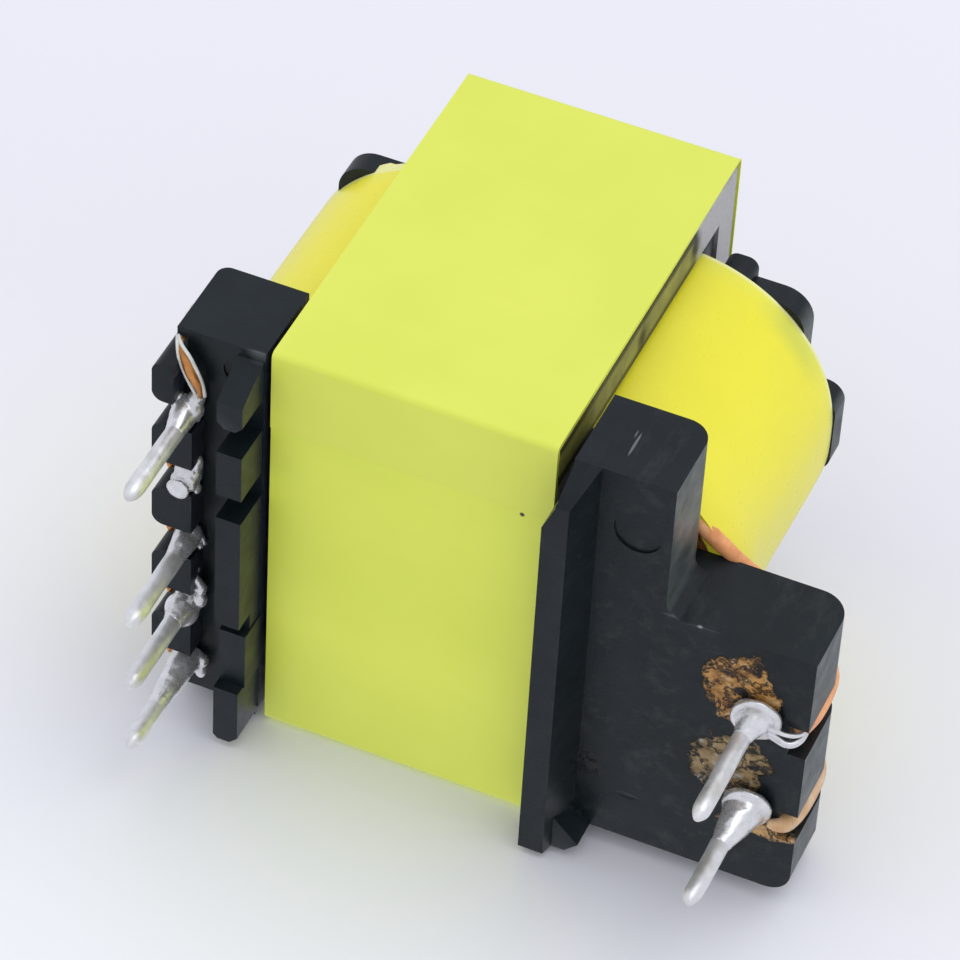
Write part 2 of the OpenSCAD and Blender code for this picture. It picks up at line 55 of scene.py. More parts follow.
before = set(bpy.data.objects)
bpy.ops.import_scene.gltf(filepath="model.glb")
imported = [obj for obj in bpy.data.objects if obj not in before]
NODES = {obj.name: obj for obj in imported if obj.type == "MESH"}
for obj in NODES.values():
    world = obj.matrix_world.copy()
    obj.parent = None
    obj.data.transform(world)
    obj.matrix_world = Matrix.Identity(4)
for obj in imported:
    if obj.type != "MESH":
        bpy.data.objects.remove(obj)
CAD_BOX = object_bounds()
MM = 0.001
TINY = 1e-6
_low, _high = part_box("core_lower")
MIDDLE = Vector(((_low.x + _high.x) / 2, (_low.y + _high.y) / 2, 0.0))


def at(x, y, z):
    """A place in metres, from millimetres round the core's middle and above the board."""
    return MIDDLE + Vector((x, y, z)) * MM


# ---------- values a user would change ----------


class FinishColours(bpy.types.PropertyGroup):
    """Colours of the part's materials and of the table."""
    core_tape: bpy.props.FloatVectorProperty(
        name="Core tape", description="Film tape round the core", subtype="COLOR",
        size=3, min=0, max=1, default=(0.71, 0.80, 0.092))
    winding_tape: bpy.props.FloatVectorProperty(
        name="Winding tape", description="Film tape round the winding", subtype="COLOR",
        size=3, min=0, max=1, default=(0.84, 0.79, 0.035))
    plastic: bpy.props.FloatVectorProperty(
        name="Bobbin plastic", description="Moulded bobbin", subtype="COLOR",
        size=3, min=0, max=1, default=(0.0038, 0.0080, 0.0110))
    ferrite: bpy.props.FloatVectorProperty(
        name="Ferrite", description="Sintered core", subtype="COLOR",
        size=3, min=0, max=1, default=(0.34, 0.335, 0.35))
    tin: bpy.props.FloatVectorProperty(
        name="Tin", description="Plated pins and solder", subtype="COLOR",
        size=3, min=0, max=1, default=(0.88, 0.88, 0.90))
    copper: bpy.props.FloatVectorProperty(
        name="Copper", description="Enamelled wire", subtype="COLOR",
        size=3, min=0, max=1, default=(0.66, 0.29, 0.09))
    insulation: bpy.props.FloatVectorProperty(
        name="Lead insulation", description="Film on the two thick leads", subtype="COLOR",
        size=3, min=0, max=1, default=(0.80, 0.34, 0.13))
    flux: bpy.props.FloatVectorProperty(
        name="Flux stain", description="Baked flux round the soldered pins", subtype="COLOR",
        size=3, min=0, max=1, default=(0.42, 0.22, 0.065))
    table: bpy.props.FloatVectorProperty(
        name="Table", description="Pale table", subtype="COLOR",
        size=3, min=0, max=1, default=(0.765, 0.77, 0.865))


class FinishSizes(bpy.types.PropertyGroup):
    """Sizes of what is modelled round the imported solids."""
    edge_round: bpy.props.FloatProperty(
        name="Moulded edge radius", description="Rounding of the bobbin's edges",
        default=0.00009, min=0.00001, max=0.0002, unit="LENGTH", precision=5)
    bulge: bpy.props.FloatProperty(
        name="Winding bulge", description="How far the winding swells at its foot on the block's side",
        default=0.00042, min=0, max=0.0008, unit="LENGTH", precision=5)
    fullness: bpy.props.FloatProperty(
        name="Winding fullness", description="How much fuller the winding lies on its near side",
        default=0.00012, min=0, max=0.0004, unit="LENGTH", precision=5)
    film: bpy.props.FloatProperty(
        name="Winding film", description="Thickness of the winding's outer film",
        default=0.00013, min=0.00005, max=0.0003, unit="LENGTH", precision=5)
    rim: bpy.props.FloatProperty(
        name="Winding rim", description="How far the winding's film stands over the flange above the rail",
        default=0.00036, min=0, max=0.0008, unit="LENGTH", precision=5)
    solder_grain: bpy.props.FloatProperty(
        name="Solder fineness", description="Finest shape kept where lumps of solder run together",
        default=0.00004, min=0.00002, max=0.0001, unit="LENGTH", precision=5)


class FinishLight(bpy.types.PropertyGroup):
    """Strength of the light, and the camera's lens."""
    surround: bpy.props.FloatProperty(
        name="Surround", description="Light from all sides", default=0.93, min=0, max=2)
    key: bpy.props.FloatProperty(
        name="Main lamp", description="Power of the soft lamp in front of the table",
        default=0.78, min=0, max=20, unit="POWER")
    mirrored: bpy.props.FloatProperty(
        name="Mirrored surround", description="Brightness of the surround in gloss and metal",
        default=0.8, min=0, max=2)
    focal_length: bpy.props.FloatProperty(
        name="Focal length", description="Lens of the camera",
        default=192.3275, min=20, max=400, unit="CAMERA")


def colours():
    return bpy.context.scene.finish_colours


def sizes():
    return bpy.context.scene.finish_sizes


# ---------- modelling helpers ----------


def deselect():
    if bpy.context.mode != "OBJECT":
        bpy.ops.object.mode_set(mode="OBJECT")
    bpy.ops.object.select_all(action="DESELECT")


def take(piece):
    """Makes the piece the only selected and the active object."""
    deselect()
    piece.select_set(True)
    bpy.context.view_layer.objects.active = piece


def new_piece(name):
    """The primitive that was just added, under its own name."""
    piece = bpy.context.view_layer.objects.active
    piece.name = name
    piece.data.name = name
    return piece


def copy_node(node, name):
    """A piece that starts as a merged copy of a CAD node's mesh."""
    deselect()
    piece = bpy.data.objects.new(name, NODES[node].data.copy())
    piece.data.name = name
    piece.data.materials.clear()
    bpy.context.scene.collection.objects.link(piece)
    take(piece)
    bpy.ops.object.mode_set(mode="EDIT")
    bpy.ops.mesh.select_all(action="SELECT")
    bpy.ops.mesh.remove_doubles(threshold=TINY)
    bpy.ops.object.mode_set(mode="OBJECT")
    return piece


def pick(piece, kind, test):
    """In edit mode, selects only the verts, edges or faces whose middle passes the test."""
    mesh = bmesh.from_edit_mesh(piece.data)
    for group in (mesh.faces, mesh.edges, mesh.verts):
        for element in group:
            element.select_set(False)
    bpy.context.tool_settings.mesh_select_mode = (kind == "VERT", kind == "EDGE", kind == "FACE")
    found = 0
    for element in {"VERT": mesh.verts, "EDGE": mesh.edges, "FACE": mesh.faces}[kind]:
        if kind == "VERT":
            middle = element.co
        elif kind == "EDGE":
            middle = (element.verts[0].co + element.verts[1].co) / 2
        else:
            middle = element.calc_center_median()
        if test(middle):
            element.select_set(True)
            found += 1
    mesh.select_flush_mode()
    bmesh.update_edit_mesh(piece.data)
    return found


def cut_level(place, z):
    """In edit mode, cuts the whole mesh with a level plane through place at height z."""
    bpy.ops.mesh.select_all(action="SELECT")
    bpy.ops.mesh.bisect(plane_co=(place.x, place.y, z), plane_no=(0, 0, 1))


def finish_modifiers(piece):
    """Applies every modifier of the piece, in order."""
    take(piece)
    for modifier in list(piece.modifiers):
        bpy.ops.object.modifier_apply(modifier=modifier.name)


def settle(piece, angle=35):
    """Applies place, turn and size to the mesh and smooths faces that meet at less than the angle."""
    take(piece)
    bpy.ops.object.transform_apply(location=True, rotation=True, scale=True)
    bpy.ops.object.shade_smooth_by_angle(angle=math.radians(angle))


def tube(name, points, radius, thick=None):
    """A smooth closed wire through points in core millimetres; thick scales the radius at each point."""
    deselect()
    bpy.ops.curve.primitive_nurbs_path_add()
    wire = new_piece(name)
    wire.data.splines.clear()
    spline = wire.data.splines.new("NURBS")
    spline.points.add(len(points) - 1)
    for knot, place, scale in zip(spline.points, points, thick or [1.0] * len(points)):
        knot.co = (*at(*place), 1.0)
        knot.radius = scale
    spline.use_endpoint_u = True
    spline.order_u = 3
    wire.data.resolution_u = 8
    wire.data.bevel_depth = radius * MM
    wire.data.bevel_resolution = 3
    wire.data.use_fill_caps = True
    wire.location = (0, 0, 0)
    bpy.ops.object.convert(target="MESH")
    wire = new_piece(name)
    take(wire)
    bpy.ops.object.mode_set(mode="EDIT")
    bpy.ops.mesh.select_all(action="SELECT")
    bpy.ops.mesh.remove_doubles(threshold=TINY / 2)
    bpy.ops.mesh.normals_make_consistent(inside=False)
    bpy.ops.object.mode_set(mode="OBJECT")
    return wire


def lumps(name, balls, rings=(), cones=()):
    """One skin run together from balls (x, y, z, radii), rings (x, y, z, wide, thick, turn)
    and cones (foot, end, wide, narrow)."""
    deselect()
    for i, (x, y, z, radii) in enumerate(balls):
        bpy.ops.mesh.primitive_ico_sphere_add(subdivisions=3, radius=MM, location=at(x, y, z), scale=radii)
        if i == 0:
            piece = new_piece(name)
            bpy.ops.object.transform_apply(location=True, rotation=True, scale=True)
            bpy.ops.object.mode_set(mode="EDIT")
    for x, y, z, wide, thick, turn in rings:
        bpy.ops.mesh.primitive_torus_add(
            location=at(x, y, z), rotation=turn, major_radius=wide * MM, minor_radius=thick * MM)
    for foot, end, wide, narrow in cones:
        foot, end = at(*foot), at(*end)
        bpy.ops.mesh.primitive_cone_add(
            vertices=32, radius1=wide * MM, radius2=narrow * MM, depth=(end - foot).length,
            location=(foot + end) / 2, rotation=(end - foot).to_track_quat("Z", "Y").to_euler())
    bpy.ops.object.mode_set(mode="OBJECT")
    melt(piece)
    return piece


def melt(piece):
    """Runs the piece's overlapping shells into one soft, slightly uneven skin."""
    join = piece.modifiers.new("join", "REMESH")
    join.mode = "VOXEL"
    join.voxel_size = sizes().solder_grain
    smooth = piece.modifiers.new("smooth", "SMOOTH")
    smooth.factor, smooth.iterations = 0.6, 5
    cloud = bpy.data.textures.new(piece.name + "_unevenness", "CLOUDS")
    cloud.noise_scale = 0.4 * MM
    cloud.noise_depth = 2
    push = piece.modifiers.new("unevenness", "DISPLACE")
    push.texture, push.texture_coords = cloud, "GLOBAL"
    push.strength, push.mid_level = 0.04 * MM, 0.5
    finish_modifiers(piece)
    settle(piece, 60)


def dress(piece, material, slot, *nodes):
    """Gives a finished piece its material, puts it under the root and hides the CAD nodes it stands for. The
    slot is not used.
    """
    piece.data.materials.clear()
    piece.data.materials.append(material)
    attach(piece, "root")
    if nodes:
        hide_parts(*nodes)


def cover(node, material):
    """Gives a CAD node's own faces a better material."""
    for slot in NODES[node].material_slots:
        slot.material = material


# ---------- materials ----------


class Finish:
    """One material, its nodes added from the pattern to the surface."""

    def __init__(self, name):
        self.material = bpy.data.materials.new(name)
        self.material.use_nodes = True
        self.tree = self.material.node_tree
        self.tree.nodes.clear()
        self.out = self.add("ShaderNodeOutputMaterial")
        self.shader = self.add("ShaderNodeBsdfPrincipled")
        self.link(self.shader.outputs[0], self.out.inputs["Surface"])
        place = self.add("ShaderNodeTexCoord")
        scale = self.add("ShaderNodeMapping")
        scale.inputs["Location"].default_value = -MIDDLE / MM
        scale.inputs["Scale"].default_value = (1 / MM, 1 / MM, 1 / MM)
        self.link(place.outputs["Object"], scale.inputs["Vector"])
        self.place = scale.outputs["Vector"]

    def add(self, kind, **inputs):
        node = self.tree.nodes.new(kind)
        for name, value in inputs.items():
            setattr(node, name, value)
        return node

    def link(self, a, b):
        self.tree.links.new(a, b)

    def set(self, **values):
        """Constant values straight on the shader's sockets."""
        for name, value in values.items():
            self.shader.inputs[name.replace("_", " ")].default_value = value

    def stretched(self, scale, shift=(0, 0, 0)):
        """The place in core millimetres, stretched and moved, for a drawn-out pattern."""
        node = self.add("ShaderNodeMapping")
        node.inputs["Scale"].default_value = scale
        node.inputs["Location"].default_value = shift
        self.link(self.place, node.inputs["Vector"])
        return node.outputs["Vector"]

    def noise(self, scale, detail=3.0, rough=0.55, place=None):
        """Noise whose scale is in patches per millimetre."""
        node = self.add("ShaderNodeTexNoise")
        node.inputs["Scale"].default_value = scale
        node.inputs["Detail"].default_value = detail
        node.inputs["Roughness"].default_value = rough
        self.link(place or self.place, node.inputs["Vector"])
        return node.outputs["Fac"]

    def cells(self, scale):
        """Distance from the middles of scattered cells."""
        node = self.add("ShaderNodeTexVoronoi", feature="F1")
        node.inputs["Scale"].default_value = scale
        self.link(self.place, node.inputs["Vector"])
        return node.outputs["Distance"]

    def span(self, value, a, b, low=0.0, high=1.0):
        """Stretches value from a..b to low..high, and clamps it."""
        node = self.add("ShaderNodeMapRange")
        for name, number in (("From Min", a), ("From Max", b), ("To Min", low), ("To Max", high)):
            node.inputs[name].default_value = number
        self.link(value, node.inputs["Value"])
        return node.outputs["Result"]

    def math(self, operation, a, b):
        node = self.add("ShaderNodeMath", operation=operation)
        for socket, value in zip(node.inputs, (a, b)):
            if isinstance(value, (int, float)):
                socket.default_value = value
            else:
                self.link(value, socket)
        return node.outputs[0]

    def times(self, a, b):
        return self.math("MULTIPLY", a, b)

    def plus(self, a, b):
        return self.math("ADD", a, b)

    def minus(self, a, b):
        return self.math("SUBTRACT", a, b)

    def larger(self, a, b):
        return self.math("MAXIMUM", a, b)

    def near(self, point, inner, outer, flat=(1, 1, 1)):
        """1 within inner mm of a point, 0 past outer mm; flat scales the three directions."""
        node = self.add("ShaderNodeVectorMath", operation="DISTANCE")
        self.link(self.stretched(flat), node.inputs[0])
        node.inputs[1].default_value = [p * f for p, f in zip(point, flat)]
        return self.span(node.outputs["Value"], inner, outer, 1.0, 0.0)

    def axis(self, name):
        """X or Y from the core's middle, or Z from the board, in millimetres."""
        node = self.add("ShaderNodeSeparateXYZ")
        self.link(self.place, node.inputs[0])
        return node.outputs[name]

    def normal(self, name):
        """How far the surface faces along X, Y or Z."""
        place, node = self.add("ShaderNodeTexCoord"), self.add("ShaderNodeSeparateXYZ")
        self.link(place.outputs["Normal"], node.inputs[0])
        return node.outputs[name]

    def blend(self, factor, a, b):
        """Mixes two colours or colour outputs."""
        node = self.add("ShaderNodeMix", data_type="RGBA")
        self.link(factor, node.inputs[0])
        for socket, value in ((node.inputs[6], a), (node.inputs[7], b)):
            if hasattr(value, "is_linked"):
                self.link(value, socket)
            else:
                socket.default_value = (*value, 1.0)
        return node.outputs[2]

    def colour(self, value):
        self.link(value, self.shader.inputs["Base Color"])

    def rough(self, value):
        self.link(value, self.shader.inputs["Roughness"])

    def shine(self, value):
        """Strength of the clear reflection, 0.5 being the material's own."""
        self.link(value, self.shader.inputs["Specular IOR Level"])

    def bump(self, height, depth):
        """Raised detail, depth in millimetres."""
        node = self.add("ShaderNodeBump")
        node.inputs["Strength"].default_value = 1.0
        node.inputs["Distance"].default_value = depth * MM
        self.link(height, node.inputs["Height"])
        self.link(node.outputs["Normal"], self.shader.inputs["Normal"])


def tint(colour, factor):
    """The colour with each channel scaled, and held at full strength."""
    return tuple(min(1.0, c * f) for c, f in zip(colour, factor))


def film_tape(name, colour, extra=None, rough=(0.3, 0.42)):
    """Thin polyester film with a little unevenness of the glue under it."""
    f = Finish(name)
    patches = f.span(f.noise(0.22, 2), 0.35, 0.65)
    streaks = f.span(f.noise(1.0, 4, 0.6, f.stretched((0.25, 1.6, 1.6))), 0.35, 0.7)
    tone = f.blend(patches, tint(colour, (0.97, 0.975, 0.93)), tint(colour, (1.015, 1.01, 1.05)))
    tone = f.blend(f.times(streaks, 0.12), tone, tint(colour, (0.92, 0.93, 0.8)))
    if extra:
        tone = extra(f, tone)
    f.colour(tone)
    f.rough(f.span(f.noise(2.5, 3), 0.3, 0.7, *rough))
    height = f.plus(f.times(f.noise(0.5, 2), 0.8), f.times(f.noise(6.0, 2), 0.02))
    f.bump(height, 0.035)
    f.set(IOR=1.5)
    return f.material


def speck_and_painted_shade(f, tone):
    """A black speck caught under the edge of the last turn, and painted shade darkening the film towards the
    edge the part rests on.
    """
    # painted shade: the film darker towards its foot, most on the rail's side
    foot = f.times(f.span(f.axis("Y"), 3.0, 7.2), f.span(f.axis("X"), 5.0, -4.5, 0.35, 0.75))
    tone = f.blend(f.times(foot, 0.9), tone, (0.52, 0.60, 0.062))
    return f.blend(f.near((3.36, -4.42, 1.45), 0.05, 0.09), tone, (0.03, 0.035, 0.03))


def winding_edges(colour):
    """The winding's film with painted shade, darker and greener, near its top on the block's side, a paler,
    bluer band along the top, a painted highlight on its top edge, a painted glint beside the core's leg, and
    painted shade at its foot.
    """
    def extra(f, tone):
        wave = f.times(f.minus(f.noise(0.6, 2), 0.5), 0.35)
        height = f.plus(f.axis("Z"), wave)
        # painted shade: darker and greener near the film's top on the block's side
        clear = f.times(f.near((7.3, -3.7, 12.3), 0.5, 1.7), f.span(height, 11.4, 12.1))
        tone = f.blend(f.times(clear, 0.6), tone, tint(colour, (0.6, 0.72, 2.4)))
        tone = f.blend(f.times(f.span(height, 11.9, 12.4), 0.3), tone, tint(colour, (0.88, 0.98, 4.0)))
        # painted highlight along the film's top edge
        edge = f.span(f.axis("Z"), 12.5, 12.56)
        tone = f.blend(f.times(edge, 0.6), tone, (0.82, 0.84, 0.5))
        # painted glint beside the core's leg
        tone = f.blend(f.near((5.42, -5.3, 11.85), 0.05, 0.1), tone, (1.0, 1.0, 0.75))
        # painted shade: darker towards the film's foot
        foot = f.span(height, 5.6, 4.2)
        return f.blend(f.times(foot, 0.35), tone, tint(colour, (0.9, 0.84, 1.5)))
    return extra


# rubbed marks on the moulding, the first a painted glint: place, inner and outer reach in mm, flattening,
# strength, colour
MARKS = (
    # painted glint: a bright bluish dot on the block's pin face
    ((8.83, -2.6, 1.35), 0.02, 0.12, (1, 1, 1), 0.9, (0.5, 0.53, 0.6)),
    ((9.0, -2.62, 1.36), 0.7, 1.1, (0.8, 12, 12), 0.22, (0.3, 0.32, 0.35)),
    ((7.8, -5.0, 2.5), 0.2, 0.75, (1, 0.6, 0.6), 0.2, (0.3, 0.31, 0.3)),
    ((7.8, -3.3, 3.3), 0.1, 0.6, (1, 1, 1), 0.25, (0.32, 0.32, 0.3)),
    ((6.05, -7.35, 2.6), 0.4, 0.55, (12, 1, 1), 0.35, (0.35, 0.37, 0.38)),
    ((5.93, -7.35, 3.0), 0.12, 0.22, (6, 1, 1), 0.3, (0.35, 0.37, 0.38)),
    ((5.59, 4.61, 0.0), 0.09, 0.16, (1.2, 1, 1), 0.5, (0.2, 0.21, 0.22)),
    ((-4.65, -7.35, 1.3), 0.2, 0.5, (1, 1, 3), 0.25, (0.3, 0.33, 0.35)),
)
# dimples and a nick: place, inner and outer reach in mm, flattening, depth
DIMPLES = (
    ((5.59, 4.61, 0.0), 0.08, 0.24, (1, 1, 1), 2.2),
    ((5.3, -4.46, 0.6), 0.04, 0.16, (1, 1, 1), 2.0),
    ((7.2, 5.12, 1.35), 0.03, 0.2, (0.6, 1.6, 1), 3.0),
)
# crusts of baked flux: place, flattening, tint of the flux colour, threshold of their ragged edge
CRUSTS = (
    ((10.3, -0.65, 1.35), (0.95, 0.75, 1), (1, 1, 1), 0.40),
    ((10.1, 2.35, 1.35), (0.85, 0.85, 1), (0.62, 0.85, 1.4), 0.46),
    ((11.3, 4.5, 1.35), (0.8, 2.6, 1), (1.1, 1.3, 1.8), 0.42),
)


def moulded_plastic():
    """Black moulded plastic with dust, scratches, dimples and flux baked on round the two far pins, with painted
    sheen on sides turned along X, a painted glint, and painted highlights in the flux.
    """
    f = Finish("moulded_plastic")
    base = tuple(colours().plastic)
    wide = f.span(f.noise(0.5, 3), 0.3, 0.7)
    tone = f.blend(wide, tint(base, (0.8, 0.85, 0.85)), tint(base, (1.6, 1.5, 1.45)))
    tone = dust_and_sheen(f, tone)
    for place, inner, outer, flat, strength, shade in MARKS:
        tone = f.blend(f.times(f.near(place, inner, outer, flat), strength), tone, shade)
    height = f.plus(f.times(f.noise(9.0, 4, 0.6), 0.25), f.times(f.noise(0.9, 3), 0.8))
    for place, inner, outer, flat, depth in DIMPLES:
        height = f.minus(height, f.times(f.near(place, inner, outer, flat), depth))
    # a splash of lacquer on the pin face
    splash = f.times(f.near((5.95, 4.3, 1.35), 0.15, 0.6), f.span(f.noise(3.5, 4, 0.7), 0.42, 0.5))
    tone = f.blend(splash, tone, (0.002, 0.003, 0.003))
    height = f.plus(height, f.times(splash, 0.8))
    gloss = f.minus(f.span(f.noise(1.4, 4), 0.3, 0.7, 0.3, 0.46), f.times(splash, 0.15))
    for place, flat, warmth, edge in CRUSTS:
        tone, height = baked_flux(f, tone, height, place, flat, warmth, edge)
    f.colour(tone)
    f.rough(gloss)
    f.bump(height, 0.03)
    f.set(IOR=1.5, Specular_IOR_Level=0.31)
    return f.material


def dust_and_sheen(f, tone):
    """Flecks of dust, a rubbed block, and painted sheen making the sides turned along X lighter, with dust on
    the block's outer sides.
    """
    flecks = f.times(f.span(f.cells(1.7), 0.02, 0.05, 1.0, 0.0), f.span(f.noise(0.8, 2), 0.54, 0.62))
    tone = f.blend(f.times(flecks, 0.4), tone, (0.22, 0.23, 0.24))
    clouds = f.span(f.noise(1.1, 5, 0.7, f.stretched((1, 1, 0.35))), 0.52, 0.7)
    rubbed = f.times(clouds, f.span(f.axis("X"), 4.6, 6.0))
    tone = f.blend(f.times(rubbed, 0.08), tone, (0.2, 0.21, 0.21))
    # painted sheen: lighter, bluer faces turned towards +X on the rail's side
    inner_side_sheen = f.times(f.span(f.normal("X"), 0.7, 0.95), f.span(f.axis("X"), -4.2, -4.5))
    tone = f.blend(f.times(inner_side_sheen, 0.5), tone, (0.032, 0.036, 0.055))
    # painted sheen with dust: lighter, greener grey on the block's outer sides
    outer_side_dust_and_sheen = f.times(f.span(f.normal("X"), 0.7, 0.95), f.span(f.axis("X"), 6.8, 7.4))
    dust = f.span(f.noise(1.3, 4, 0.65, f.stretched((1, 1, 0.5))), 0.35, 0.65, 0.07, 0.19)
    return f.blend(f.times(outer_side_dust_and_sheen, dust), tone, (0.36, 0.42, 0.40))


def baked_flux(f, tone, height, place, flat, warmth, edge):
    """A ragged amber crust with dark holes and veins and cream flecks of painted highlight, on the face the pins
    stand on.
    """
    flux = tint(tuple(colours().flux), warmth)
    face = f.span(f.axis("Z"), 1.75, 1.45)
    uneven = f.times(f.minus(f.noise(1.1, 3, 0.6), 0.5), 1.3)
    ragged = f.plus(f.near(place, 0.45, 1.5, flat), uneven)
    patch = f.span(ragged, edge, edge + 0.09)
    crust = f.times(patch, face)
    grain = f.noise(1.9, 3, 0.6, f.stretched((1, 1, 1), (0.9, 4.7, 0.4)))
    veins = f.times(f.minus(f.span(grain, 0.40, 0.43), f.span(grain, 0.45, 0.48)), 0.85)
    pits = f.span(f.noise(1.5, 3, 0.6, f.stretched((1, 1, 1), (3.1, 1.7, 0.4))), 0.56, 0.62)
    holes = f.larger(pits, veins)
    bright = f.span(f.noise(2.6, 4, 0.65), 0.36, 0.6)
    shade = f.blend(bright, tint(flux, (0.42, 0.34, 0.25)), tint(flux, (1.1, 1.1, 1.1)))
    # painted highlights: cream flecks on the glossy crust
    pale = f.times(f.span(f.noise(3.4, 3, 0.6), 0.56, 0.7), 0.7)
    shade = f.blend(pale, shade, tint(flux, (1.35, 2.0, 4.0)))
    shade = f.blend(holes, shade, (0.012, 0.01, 0.008))
    rim = f.times(f.minus(f.span(ragged, edge - 0.1, edge), patch), face)
    tone = f.blend(f.times(rim, 0.8), tone, (0.003, 0.003, 0.002))
    tone = f.blend(crust, tone, shade)
    return tone, f.plus(height, f.times(crust, f.minus(2.5, f.times(holes, 2.0))))


# dark spots on the core's near leg: place, inner and outer reach in mm, flattening
LEG_DARK_SPOTS = (
    ((4.28, -6.6, 11.6), 0.18, 0.5, (1, 0.8, 1)),
    ((4.28, -6.35, 7.6), 0.12, 0.4, (1, 0.8, 1)),
    ((4.28, -5.3, 13.2), 0.1, 0.3, (1, 1, 1)),
)


def ferrite():
    """Sintered grey core with pits, and on its near leg on the block's side a painted reflection of the winding
    with painted shade in olive, painted shadow along its edges, and dark spots.
    """
    c = tuple(colours().ferrite)
    f = Finish("ferrite")
    grain = f.noise(7.0, 6, 0.7)
    tone = f.blend(f.span(grain, 0.35, 0.65), tint(c, (0.8, 0.8, 0.8)), tint(c, (1.25, 1.25, 1.27)))
    pits = f.span(f.cells(3.0), 0.03, 0.1, 1.0, 0.0)
    tone = f.blend(f.times(pits, 0.5), tone, tint(c, (0.3, 0.3, 0.3)))
    # painted reflection and shade: the near leg's outer face olive up to a ragged line, also rougher and less
    # glossy there
    leg = f.times(f.span(f.axis("X"), 4.1, 4.25), f.span(f.axis("Y"), -5.6, -5.8))
    ragged_height = f.plus(f.axis("Z"), f.times(f.noise(1.2, 3), 0.5))
    leg_reflection_and_shade = f.times(leg, f.span(ragged_height, 12.1, 11.8))
    olive = f.blend(f.span(f.noise(0.7, 3, 0.6), 0.35, 0.65), (0.15, 0.145, 0.02), (0.29, 0.285, 0.035))
    tone = f.blend(f.times(leg_reflection_and_shade, 0.9), tone, olive)
    # painted shadow: dark lines in the gaps to the core tape and to the winding
    gap_shadow = f.larger(f.span(f.axis("Y"), -6.8, -6.95), f.span(f.axis("Y"), -6.15, -6.0))
    tone = f.blend(f.times(f.times(gap_shadow, leg_reflection_and_shade), 0.85), tone, (0.02, 0.02, 0.006))
    for place, inner, outer, flat in LEG_DARK_SPOTS:
        tone = f.blend(f.times(f.near(place, inner, outer, flat), 0.9), tone, (0.012, 0.011, 0.01))
    f.colour(tone)
    f.rough(f.plus(f.span(grain, 0.3, 0.7, 0.26, 0.4), f.times(leg_reflection_and_shade, 0.25)))
    f.shine(f.span(leg_reflection_and_shade, 0.1, 0.9, 0.5, 0.14))
    f.bump(f.minus(grain, f.times(pits, 0.6)), 0.015)
    f.set(IOR=2.1)
    return f.material


def tinned(name, low=0.34, high=0.5, stain=0.2, depth=0.03, metal=0.72):
    """Dip-tinned metal: soft grey with faint brown and olive streaks where the flux ran."""
    c = tuple(colours().tin)
    f = Finish(name)
    cloud = f.span(f.noise(3.0, 4, 0.6), 0.35, 0.7)
    tone = f.blend(cloud, tint(c, (0.92, 0.92, 0.92)), tint(c, (1.1, 1.1, 1.1)))
    streak = f.span(f.noise(1.5, 2, 0.5, f.stretched((1, 1, 0.5), (5.2, 0.7, 1.9))), 0.52, 0.68)
    tone = f.blend(f.times(streak, stain), tone, (0.3, 0.27, 0.14))
    f.colour(tone)
    f.rough(f.span(f.noise(5.0, 3), 0.3, 0.7, low, high))
    f.bump(f.plus(f.noise(1.6, 2), f.times(f.noise(8.0, 2), 0.03)), depth)
    f.set(Metallic=metal)
    return f.material


def enamelled_copper(name, colour):
    """Glossy enamel over copper wire."""
    f = Finish(name)
    cloud = f.span(f.noise(2.0, 4), 0.35, 0.65)
    f.colour(f.blend(cloud, tint(colour, (0.75, 0.7, 0.65)), tint(colour, (1.12, 1.12, 1.12))))
    f.rough(f.span(f.noise(6.0, 3), 0.3, 0.7, 0.22, 0.4))
    f.bump(f.noise(5.0, 3), 0.015)
    f.set(Metallic=0.75)
    return f.material


def film_insulation(name, c):
    """Film wrapped round a lead, with paler streaks along its laps."""
    f = Finish(name)
    cloud = f.span(f.noise(1.6, 3), 0.35, 0.65)
    tone = f.blend(cloud, tint(c, (0.85, 0.78, 0.7)), tint(c, (1.12, 1.18, 1.3)))
    streak = f.span(f.noise(2.5, 3, 0.6, f.stretched((2.0, 0.4, 1.0))), 0.5, 0.65)
    f.colour(f.blend(f.times(streak, 0.35), tone, tint(c, (1.1, 1.6, 2.4))))
    f.rough(f.span(f.noise(4.0, 3), 0.3, 0.7, 0.25, 0.45))
    f.bump(f.noise(3.0, 3), 0.02)
    f.set(IOR=1.5)
    return f.material


def clear_glue():
    """Milky glue and clear film edges."""
    f = Finish("clear_glue")
    f.colour(f.blend(f.span(f.noise(3.0, 3), 0.35, 0.65), (0.55, 0.58, 0.56), (0.72, 0.74, 0.74)))
    f.rough(f.span(f.noise(5.0, 2), 0.3, 0.7, 0.2, 0.35))
    f.bump(f.noise(4.0, 2), 0.02)
    f.set(IOR=1.45)
    return f.material


def pale_table():
    """A dull pale table, clear from behind and to all but the camera, so that it keeps no light off the part."""
    c = tuple(colours().table)
    f = Finish("pale_table")
    cloud = f.span(f.noise(0.02, 2), 0.3, 0.7)
    far = f.blend(cloud, tint(c, (0.99, 0.99, 0.99)), tint(c, (1.01, 1.01, 1.005)))
    # painted light: the table lighter towards the pin side, where the part's shadow falls
    near = f.blend(cloud, tint(c, (1.07, 1.09, 1.06)), tint(c, (1.09, 1.11, 1.08)))
    f.colour(f.blend(f.span(f.axis("Z"), -8.0, 16.0), near, far))
    f.set(Roughness=1.0, Specular_IOR_Level=0.0)
    path, face = f.add("ShaderNodeLightPath"), f.add("ShaderNodeNewGeometry")
    clear, mix = f.add("ShaderNodeBsdfTransparent"), f.add("ShaderNodeMixShader")
    front = f.minus(1.0, face.outputs["Backfacing"])
    f.link(f.times(path.outputs["Is Camera Ray"], front), mix.inputs[0])
    f.link(clear.outputs[0], mix.inputs[1])
    f.link(f.shader.outputs[0], mix.inputs[2])
    f.link(mix.outputs[0], f.out.inputs["Surface"])
    return f.material


